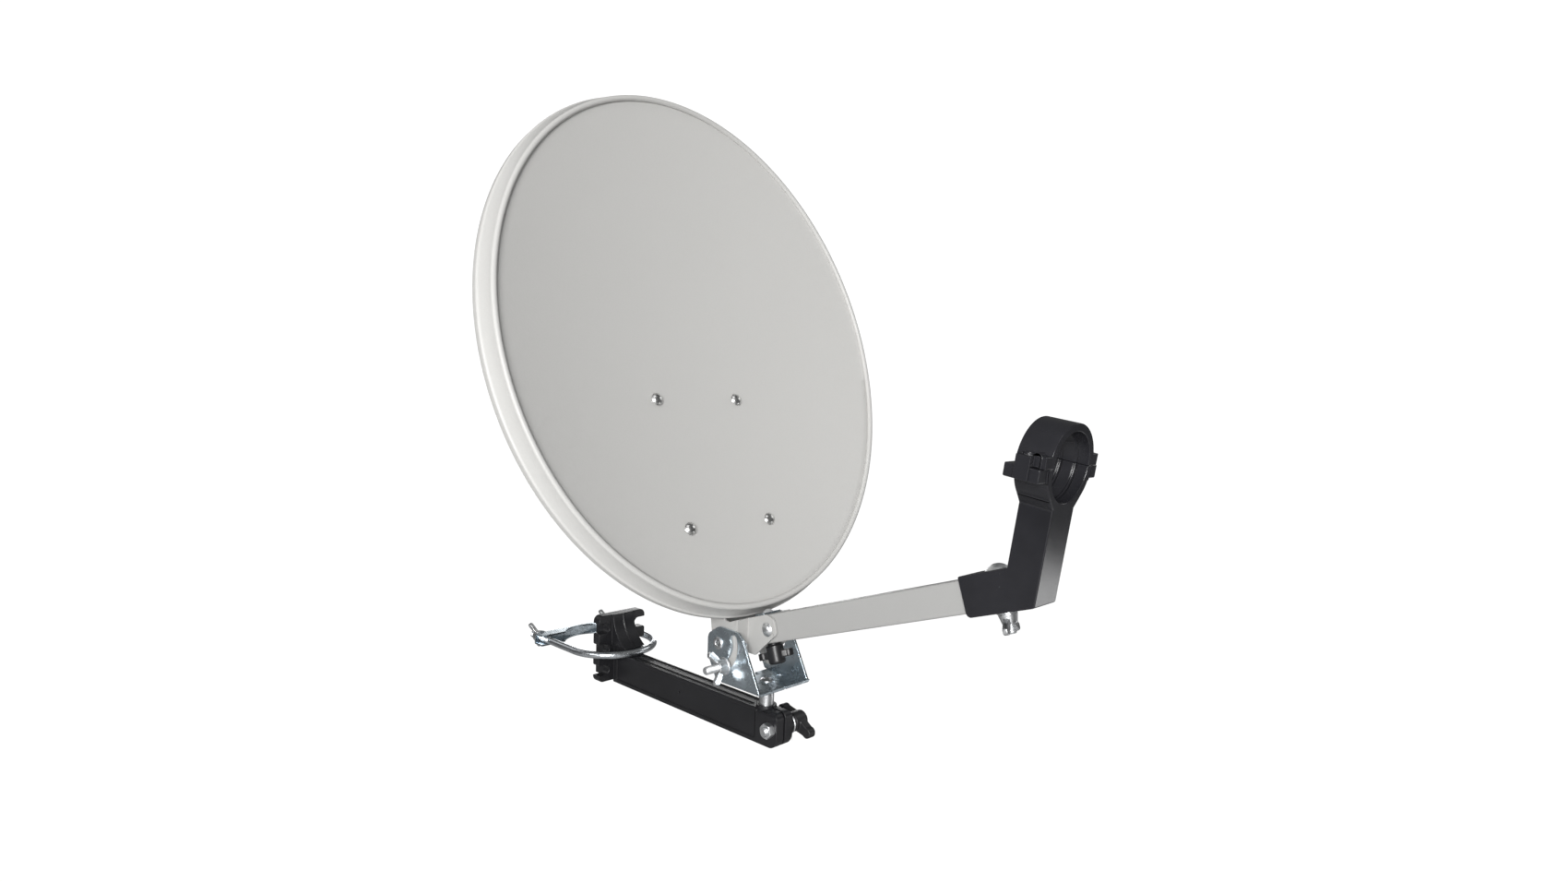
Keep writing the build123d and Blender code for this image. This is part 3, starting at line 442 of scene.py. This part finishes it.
# CAD nodes of each material slot
MEMBERS = {
    "black_moulding": ["support_arm"],
    "black_holder": ["lnb_holder", "lnb_cap"],
    "black_knob": ["azimuth_knob", "lock_knob"],
    "black_trim": ["arm_end_plug"],
    "spacer_plastic": ["dish_spacers"],
    "bush_plastic": ["arm_bush"],
    "dish_paint": ["reflector"],
    "bracket_paint": ["back_bracket"],
    "arm_paint": ["feed_arm"],
    "dish_bolt_paint": ["dish_bolts"],
    "zinc_sheet": ["elevation_bracket", "clamp_strap", "lock_plate"],
    "zinc_rod": ["u_bolt"],
    "zinc_pin": ["swivel_stub", "pivot_rivet_near", "pivot_rivet_far", "arm_pivot_rivet",
                 "bracket_rivets"],
    "zinc_fastener": ["azimuth_nut", "azimuth_washer", "azimuth_stud", "strap_washers",
                      "dish_washers", "dish_nuts", "elevation_bolts", "elevation_washers",
                      "lock_bolt", "cap_screws", "cap_nuts", "holder_bolt", "holder_washer"],
    "zinc_wing_nut": ["strap_wing_nut_near", "strap_wing_nut_far", "elevation_wing_nut_near",
                      "elevation_wing_nut_far", "holder_wing_nut"],
}
SLOT_OF_NODE = {node: slot for slot, members in MEMBERS.items() for node in members}
BODY_OF_NODE = {node: body for body, members in frame["record"]["behaviour"]["bodies"].items()
                for node in members}


def add_piece(node, mesh):
    """Put a mesh in the scene as the finished form of a CAD node."""
    slot = SLOT_OF_NODE[node]
    piece = bpy.data.objects.new(node + "_finished", mesh)
    bpy.context.scene.collection.objects.link(piece)
    mesh.materials.clear()
    mesh.materials.append(FINISHES[slot])
    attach(piece, BODY_OF_NODE[node])
    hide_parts(node)
    return piece


def finished(solid, node, angle=SHARP_ANGLE):
    """Make a solid the looks of a CAD node."""
    add_piece(node, solid.mesh(node + "_mesh", angle))


# ----------------------------------------------------------- CAD shapes with their edges broken
EDGE_WIDTHS = {
    "support_arm": 0.5, "lnb_holder": 0.8, "lnb_cap": 0.35, "arm_end_plug": 0.3,
    "back_bracket": 0.4, "feed_arm": 0.25, "elevation_bracket": 0.35, "clamp_strap": 0.12,
    "lock_plate": 0.3, "dish_spacers": 0.25, "cap_screws": 0.3, "cap_nuts": 0.2,
}


def clean_copy(node):
    """The CAD node's mesh with its split corners joined and its flat faces whole."""
    bm = bmesh.new()
    bm.from_mesh(frame["nodes"][node].data)
    bmesh.ops.remove_doubles(bm, verts=bm.verts, dist=2e-6)
    bmesh.ops.dissolve_limit(bm, angle_limit=radians(0.6), verts=bm.verts, edges=bm.edges)
    mesh = bpy.data.meshes.new(node + "_mesh")
    bm.to_mesh(mesh)
    bm.free()
    shade_by_angle(mesh, CAD_SHARP_ANGLE)
    return mesh


def with_soft_edges(node, width):
    """Stand-in for a CAD node with every sharp edge rounded, width in mm.

    Clamping stays off: the shortest edge of these meshes would stop every bevel. The widths are
    small enough that no bevel runs past its neighbours.
    """
    bevel = add_piece(node, clean_copy(node)).modifiers.new("soft_edges", "BEVEL")
    bevel.width = width / 1000.0
    bevel.segments = 2
    bevel.limit_method = "ANGLE"
    bevel.angle_limit = radians(CAD_SHARP_ANGLE)
    bevel.harden_normals = True
    bevel.use_clamp_overlap = False


def with_cast_edges(node, voxel, rounds):
    """Stand-in for a cast or moulded node, its corners and joins melted together."""
    piece = add_piece(node, clean_copy(node))
    remesh = piece.modifiers.new("skin", "REMESH")
    remesh.mode = "VOXEL"
    remesh.voxel_size = voxel / 1000.0
    remesh.use_smooth_shade = True
    smooth = piece.modifiers.new("melt", "SMOOTH")
    smooth.factor = 0.5
    smooth.iterations = rounds


# ------------------------------------------------------------------------------------ reflector
AXIS_OFFSET = 2 * FOCAL_LENGTH * tan(OFFSET_ANGLE)
RIM_AXIAL = (AXIS_OFFSET ** 2 + APERTURE_RADIUS ** 2) / (4 * FOCAL_LENGTH)
RIM_OUT = Vector((cos(RIM_TILT), 0.0, sin(RIM_TILT)))
RIM_UP = Vector((-sin(RIM_TILT), 0.0, cos(RIM_TILT)))
RIM_SEGMENTS = 288
BOWL_STEPS = 44
FRONT_INSET = 3.7
BACK_INSET = 5.0


def dish_depth(across, height, back=0.0):
    """Depth of the paraboloid behind the rim plane; back moves it along its own axis.

    It is the root of a * depth ** 2 + b * depth + c = 0 that lies near the rim plane.
    """
    tilt = OFFSET_ANGLE
    from_axis = AXIS_OFFSET + height * cos(tilt)
    axial = RIM_AXIAL + back + height * sin(tilt)
    a = sin(tilt) ** 2
    b = -(2 * sin(tilt) * from_axis + 4 * FOCAL_LENGTH * cos(tilt))
    c = from_axis ** 2 + across ** 2 - 4 * FOCAL_LENGTH * axial
    return (b + sqrt(b * b - 4 * a * c)) / (2 * a)


def rim_point(across, height, depth):
    """Place measured across the rim plane from its centre, and behind it."""
    middle = Vector(RIM_CENTRE) + Vector((0.0, across, 0.0))
    return middle + RIM_UP * height - RIM_OUT * depth


def bowl_ring(share, inset, back):
    """Ring on the bowl at a share of the way out to inset mm inside the rim."""
    ring = []
    for angle in turn_angles(RIM_SEGMENTS):
        across = share * (APERTURE_RADIUS - inset) * cos(angle)
        height = share * (APERTURE_HEIGHT - inset) * sin(angle)
        ring.append(rim_point(across, height, dish_depth(across, height, back)))
    return ring


def rim_ring(grow, depth):
    """Ring beside the rim, grow mm outside it and depth mm behind its plane."""
    return [rim_point((APERTURE_RADIUS + grow) * cos(angle),
                      (APERTURE_HEIGHT + grow) * sin(angle), depth)
            for angle in turn_angles(RIM_SEGMENTS)]


def reflector():
    """Pressed bowl, rolled lip, flared skirt, step and folded hem, one skin all round."""
    lip = arc((-1.8, 0.0), 2.2, 140.0, 374.0, 16)
    hem_grow, hem_end = 5.0, 15.0
    skirt = soft([lip[-1], (3.8, 9.4), (hem_grow, 10.4), (hem_grow, hem_end), (2.7, hem_end),
                  (2.6, 10.3), (-1.0, 1.6)], radius=0.7, steps=4)
    shares = [step / BOWL_STEPS for step in range(1, BOWL_STEPS + 1)]
    front = [bowl_ring(share, FRONT_INSET, 0.0) for share in shares]
    rim = [rim_ring(grow, depth) for grow, depth in lip + skirt[1:]]
    back = [bowl_ring(share, BACK_INSET, REFLECTOR_SHEET) for share in reversed(shares)]
    middle_front = [rim_point(0.0, 0.0, dish_depth(0.0, 0.0))]
    middle_back = [rim_point(0.0, 0.0, dish_depth(0.0, 0.0, REFLECTOR_SHEET))]
    shell = Solid().rings([middle_front, *front, *rim, *back, middle_back])
    finished(shell, "reflector", angle=50.0)


# ----------------------------------------------------------------------------------- mast mount
def u_bolt():
    """Rod bent round the jaw, with rolled threads on the last of each leg."""
    smooth_end, steps = -12.0, 48
    bend = [radians(-90.0 + 180.0 * step / steps) for step in range(steps + 1)]
    centres = [(smooth_end, -U_BOLT_BEND_RADIUS, Vector((0.0, -1.0, 0.0)))]
    for angle in bend:
        side = Vector((cos(angle), sin(angle), 0.0))
        centres.append((U_BOLT_BEND_X + U_BOLT_BEND_RADIUS * side.x,
                        U_BOLT_BEND_RADIUS * side.y, side))
    centres.append((smooth_end, U_BOLT_BEND_RADIUS, Vector((0.0, 1.0, 0.0))))
    rings = [[(smooth_end, -U_BOLT_BEND_RADIUS, 0.0)]]
    for x, y, side in centres:
        rings.append([Vector((x, y, 0.0)) + side * (M6_RADIUS * cos(angle))
                      + Vector((0.0, 0.0, M6_RADIUS * sin(angle))) for angle in turn_angles(32)])
    rings.append([(smooth_end, U_BOLT_BEND_RADIUS, 0.0)])
    rod = Solid().rings(rings)
    for side in (-1, 1):
        leg = placed((0.0, side * U_BOLT_BEND_RADIUS, 0.0), (-1, 0, 0))
        rod.thread(M6_RADIUS, -smooth_end - 0.6, -U_BOLT_LEG_END, leg, M6_PITCH)
    finished(rod, "u_bolt")


def strap_washers():
    washers = Solid()
    for side in (-1, 1):
        where = placed((STRAP_REAR, side * U_BOLT_BEND_RADIUS, 0.0), (-1, 0, 0))
        washers.washer(outer=6.0, bore=3.3, thickness=1.4, where=where)
    finished(washers, "strap_washers")


def azimuth_hardware():
    """Pinch screw through the nose: stud, its nut on the near side, the washer by the knob."""
    x, z = CLAMP_BOLT
    near_face = (x, -BEAM_HALF, z)
    nut = Solid().hex_nut(flats=10.0, height=5.0, bore=3.05,
                          where=placed(near_face, (0, -1, 0), (0.95, 0, 0.3)))
    finished(nut, "azimuth_nut")
    near, plain_to = placed(near_face, (0, -1, 0)), -7.5
    far_end = -BEAM_HALF - CLAMP_STUD_END
    stud = Solid().thread(M6_RADIUS, plain_to - 0.5, 6.8, near, M6_PITCH)
    stud.lathe([(0.0, far_end), (M6_RADIUS, far_end), (M6_RADIUS, plain_to), (0.0, plain_to)],
               near)
    finished(stud, "azimuth_stud")
    washer = Solid().washer(outer=7.5, bore=3.3, thickness=1.2,
                            where=placed((x, CLAMP_WASHER_Y, z), (0, 1, 0)))
    finished(washer, "azimuth_washer")


# ---------------------------------------------------------------------------------- turning head
def swivel_stub():
    """Turned pin with a shoulder under the bracket and a riveted head above its floor."""
    top = HEAD_FLOOR + HEAD_SHEET
    pin, neck, chamfer = 5.5, 4.0, 0.8
    profile = [(0.0, STUB_FOOT), (pin - chamfer, STUB_FOOT), (pin, STUB_FOOT + chamfer),
               (pin, HEAD_FLOOR), (neck, HEAD_FLOOR), (neck, top), (5.2, top),
               (5.0, top + 0.7), (3.6, top + 1.3), (1.6, top + 1.5), (1.2, top + 1.1),
               (0.0, top + 1.1)]
    where = placed((STUB_X, 0, 0), (0, 0, 1))
    finished(Solid().lathe(soft(profile, 0.35), where, segments=64), "swivel_stub")


def pivot_rivets():
    """Tubular rivets of the tilt axis, each rolled over a washer inside the wall."""
    x, z = PIVOT
    outer = both_sides(x, HEAD_HALF, z)
    inner = both_sides(x, WALL_INNER - 0.1, z, outward=-1)
    for name, outside, inside in zip(("near", "far"), outer, inner):
        rivet = Solid().tubular_rivet(outside, flange=4.6, barrel=3.1, hollow=1.9,
                                      height=HEAD_HALF - WALL_INNER + 0.4, lip=1.3)
        rivet.washer(outer=4.4, bore=1.9, thickness=1.0, where=inside)
        finished(rivet, "pivot_rivet_" + name)


def elevation_hardware():
    """Bolts that slide in the arc slots, with their washers."""
    x, z = ELEVATION_BOLT
    bolts, washers = Solid(), Solid()
    for where in both_sides(x, WALL_INNER, z):
        bolts.bolt(where, M6_RADIUS, M6_PITCH, length=ELEVATION_BOLT_END - WALL_INNER,
                   head_radius=6.4, head_height=3.2, thread_from=5.0)
    for where in both_sides(x, HEAD_HALF + 0.1, z):
        washers.washer(outer=6.4, bore=3.05, thickness=1.5, where=where)
    finished(bolts, "elevation_bolts")
    finished(washers, "elevation_washers")


# ------------------------------------------------------------------------ bracket behind the dish
def bracket_rivets():
    rivets = Solid()
    for side in (-1, 1):
        where = placed((STEP_X, side * BRACKET_RIVET_Y, BRACKET_RIVET_Z), (1, 0, 0))
        rivets.tubular_rivet(where, flange=2.3, barrel=1.8, hollow=1.1, height=0.3, lip=1.2)
    finished(rivets, "bracket_rivets")


def arm_pivot_rivet():
    """Pin through the ears with a domed head on each side."""
    x, z = ARM_PIVOT
    head_radius, edge = 5.0, 0.25
    crown = dome_profile(head_radius, 2.8, steps=12)
    profile = [(M6_RADIUS, -EAR_OUTER), (M6_RADIUS, 0.0), (4.85, 0.0), (head_radius, edge),
               *crown[1:]]
    pin = Solid()
    for where in both_sides(x, EAR_OUTER, z):
        pin.lathe(profile, where, segments=64)
    finished(pin, "arm_pivot_rivet")


def dish_hardware():
    """The four bolts that hold the bowl on its bracket, with their washers and nuts."""
    head_seat, washer_seat, washer_sheet = 0.9, 10.2, 1.2
    low, high = (rim_point(0.0, row, dish_depth(DISH_BOLT_Y, row)) for row in DISH_BOLT_ROWS)
    up = (high - low).normalized()
    normal = Vector((0.0, 1.0, 0.0)).cross(up)
    bolts, washers, nuts = Solid(), Solid(), Solid()
    for row in (low, high):
        for side in (-1, 1):
            seat = row + Vector((0.0, side * DISH_BOLT_Y, 0.0))
            bolts.bolt(placed(seat + normal * head_seat, -normal), M5_RADIUS, M5_PITCH,
                       length=24.0, head_radius=5.0, head_height=2.6, thread_from=9.0)
            washers.washer(outer=6.0, bore=2.6, thickness=washer_sheet,
                           where=placed(seat - normal * washer_seat, -normal))
            nut_seat = seat - normal * (washer_seat + washer_sheet)
            nuts.hex_nut(flats=8.0, height=4.2, bore=M5_RADIUS,
                         where=placed(nut_seat, -normal, (0.3, 1.0, 0.2)))
    finished(bolts, "dish_bolts")
    finished(washers, "dish_washers")
    finished(nuts, "dish_nuts")


# ------------------------------------------------------------------------------------- feed arm
ARM_ACROSS = Vector((-sin(ARM_RISE), 0.0, cos(ARM_RISE)))


def arm_point(along, across):
    """Place measured along the feed arm from its pivot, and square to it."""
    x = ARM_PIVOT[0] + along * cos(ARM_RISE) - across * sin(ARM_RISE)
    return Vector((x, 0.0, ARM_PIVOT[1] + along * sin(ARM_RISE) + across * cos(ARM_RISE)))


def arm_hardware():
    """Clamp screw behind the arm's pivot and the bolt that holds the LNB socket."""
    lock_seat = arm_point(LOCK_BOLT_AT, ARM_SIZE / 2 + LOCK_PLATE_SHEET)
    lock = Solid().bolt(placed(lock_seat, -ARM_ACROSS), M5_RADIUS, M5_PITCH,
                        length=ARM_SIZE + 11.4, head_radius=4.3, head_height=2.2,
                        thread_from=16.0)
    finished(lock, "lock_bolt")
    socket_top = arm_point(HOLDER_BOLT_AT, SOCKET_HALF)
    holder = Solid().bolt(placed(socket_top, -ARM_ACROSS), M6_RADIUS, M6_PITCH,
                          length=2 * SOCKET_HALF + 13.0, head_radius=7.0, head_height=3.4,
                          thread_from=20.0)
    finished(holder, "holder_bolt")
    socket_foot = arm_point(HOLDER_BOLT_AT, -SOCKET_HALF)
    washer = Solid().washer(outer=6.2, bore=3.1, thickness=1.2,
                            where=placed(socket_foot, -ARM_ACROSS))
    finished(washer, "holder_washer")


# ------------------------------------------------------------------------------- all the pieces
for node_name, edge_width in EDGE_WIDTHS.items():
    with_soft_edges(node_name, edge_width)
for node_name in MEMBERS["zinc_wing_nut"]:
    with_cast_edges(node_name, voxel=0.3, rounds=5)
for node_name in MEMBERS["black_knob"]:
    with_cast_edges(node_name, voxel=0.4, rounds=7)

reflector()
u_bolt()
strap_washers()
azimuth_hardware()
swivel_stub()
pivot_rivets()
bracket_rivets()
arm_pivot_rivet()
elevation_hardware()
dish_hardware()
arm_hardware()

for node_name, node_object in frame["nodes"].items():
    node_object.data.materials.clear()
    node_object.data.materials.append(FINISHES[SLOT_OF_NODE[node_name]])


# ----------------------------------------------------------------------- camera, light and floor
CAMERA_PLACE = (673.2, -457.7, 233.8)
CAMERA_AZIMUTH = radians(44.06)
CAMERA_ELEVATION = radians(3.85)
CAMERA_ROLL = radians(1.64)
FLOOR_HALF = 9000
FLOOR_Z = -330


def camera():
    """Camera in front of the dish, on its near side and a little below its middle."""
    azimuth, elevation, roll = CAMERA_AZIMUTH, CAMERA_ELEVATION, CAMERA_ROLL
    back = Vector((sin(azimuth) * cos(elevation), -cos(azimuth) * cos(elevation),
                   sin(elevation)))
    level = Vector((cos(azimuth), sin(azimuth), 0.0))
    upright = back.cross(level)
    right = level * cos(roll) + upright * sin(roll)
    up = upright * cos(roll) - level * sin(roll)
    data = bpy.data.cameras.new("camera")
    data.sensor_width = 36.0
    data.lens = 20.755
    data.clip_start, data.clip_end = 0.01, 50.0
    made = bpy.data.objects.new("camera", data)
    bpy.context.scene.collection.objects.link(made)
    turn = Matrix((right, up, back)).transposed().to_4x4()
    made.matrix_world = Matrix.Translation(mm(*CAMERA_PLACE)) @ turn
    bpy.context.scene.camera = made


def area_light(name, place, target, size, power):
    """Soft rectangular light, place and target in mm, size in metres, power in watts."""
    data = bpy.data.lights.new(name, "AREA")
    data.shape = "RECTANGLE"
    data.size, data.size_y = size
    data.energy = power
    made = bpy.data.objects.new(name, data)
    bpy.context.scene.collection.objects.link(made)
    aim = (mm(*target) - mm(*place)).to_track_quat("-Z", "Y").to_matrix().to_4x4()
    made.matrix_world = Matrix.Translation(mm(*place)) @ aim


def seen_and_cast(tree, seen, cast):
    """Shader that the camera sees as one shader and light meets as another."""
    path = tree.nodes.new("ShaderNodeLightPath")
    mix = tree.nodes.new("ShaderNodeMixShader")
    tree.links.new(path.outputs["Is Camera Ray"], mix.inputs["Fac"])
    tree.links.new(cast, mix.inputs[1])
    tree.links.new(seen, mix.inputs[2])
    return mix.outputs["Shader"]


def studio():
    """White surroundings, dimmer as a light than as a background, with soft lights round them."""
    world = bpy.data.worlds.new("studio")
    bpy.context.scene.world = world
    world.use_nodes = True
    tree = world.node_tree
    seen = tree.nodes["Background"]
    seen.inputs["Color"].default_value = (1.0, 1.0, 1.0, 1.0)
    seen.inputs["Strength"].default_value = 1.1
    cast = tree.nodes.new("ShaderNodeBackground")
    cast.inputs["Color"].default_value = (0.98, 0.99, 1.0, 1.0)
    cast.inputs["Strength"].default_value = 0.12
    both = seen_and_cast(tree, seen.outputs["Background"], cast.outputs["Background"])
    tree.links.new(both, tree.nodes["World Output"].inputs["Surface"])
    bpy.context.scene.view_settings.view_transform = "Standard"
    area_light("key", place=(1420, -1520, 560), target=(150, 0, 200), size=(0.8, 0.8), power=50.0)
    area_light("left", place=(250, -2000, 1100), target=(150, 0, 150), size=(0.5, 1.0), power=5.0)
    area_light("top", place=(700, -500, 1900), target=(150, 0, 100), size=(0.8, 0.8), power=4.0)
    area_light("behind", place=(-1200, -500, 1100), target=(150, 0, 50), size=(0.5, 1.0), power=1.2)
    area_light("rim", place=(600, 1400, 850), target=(440, 0, 190), size=(0.6, 0.5), power=2.0)
    area_light("back", place=(-1450, 1350, 60), target=(100, 0, 220), size=(0.9, 0.9), power=10.0)
    area_light("low", place=(681, 534, -110), target=(447, 0, 120), size=(0.28, 0.10), power=0.25)


def floor():
    """Pale floor well below the part, which hangs on its mast."""
    points = [(-FLOOR_HALF, -FLOOR_HALF, FLOOR_Z), (FLOOR_HALF, -FLOOR_HALF, FLOOR_Z),
              (FLOOR_HALF, FLOOR_HALF, FLOOR_Z), (-FLOOR_HALF, FLOOR_HALF, FLOOR_Z)]
    mesh = mesh_from("floor", points, [(0, 1, 2, 3)])
    shader = Shader("floor_white", 0.8)
    shader.colour(shader.ramp(shader.noise(3.0), shades((0.40, 0.40, 0.40), 0.02)))
    glow = shader.node("ShaderNodeEmission")
    glow.inputs["Strength"].default_value = 1.05
    both = seen_and_cast(shader.tree, glow.outputs["Emission"], shader.surface.outputs["BSDF"])
    shader.link(both, shader.tree.nodes["Material Output"].inputs["Surface"])
    mesh.materials.append(shader.material)
    made = bpy.data.objects.new("floor", mesh)
    bpy.context.scene.collection.objects.link(made)


camera()
studio()
floor()
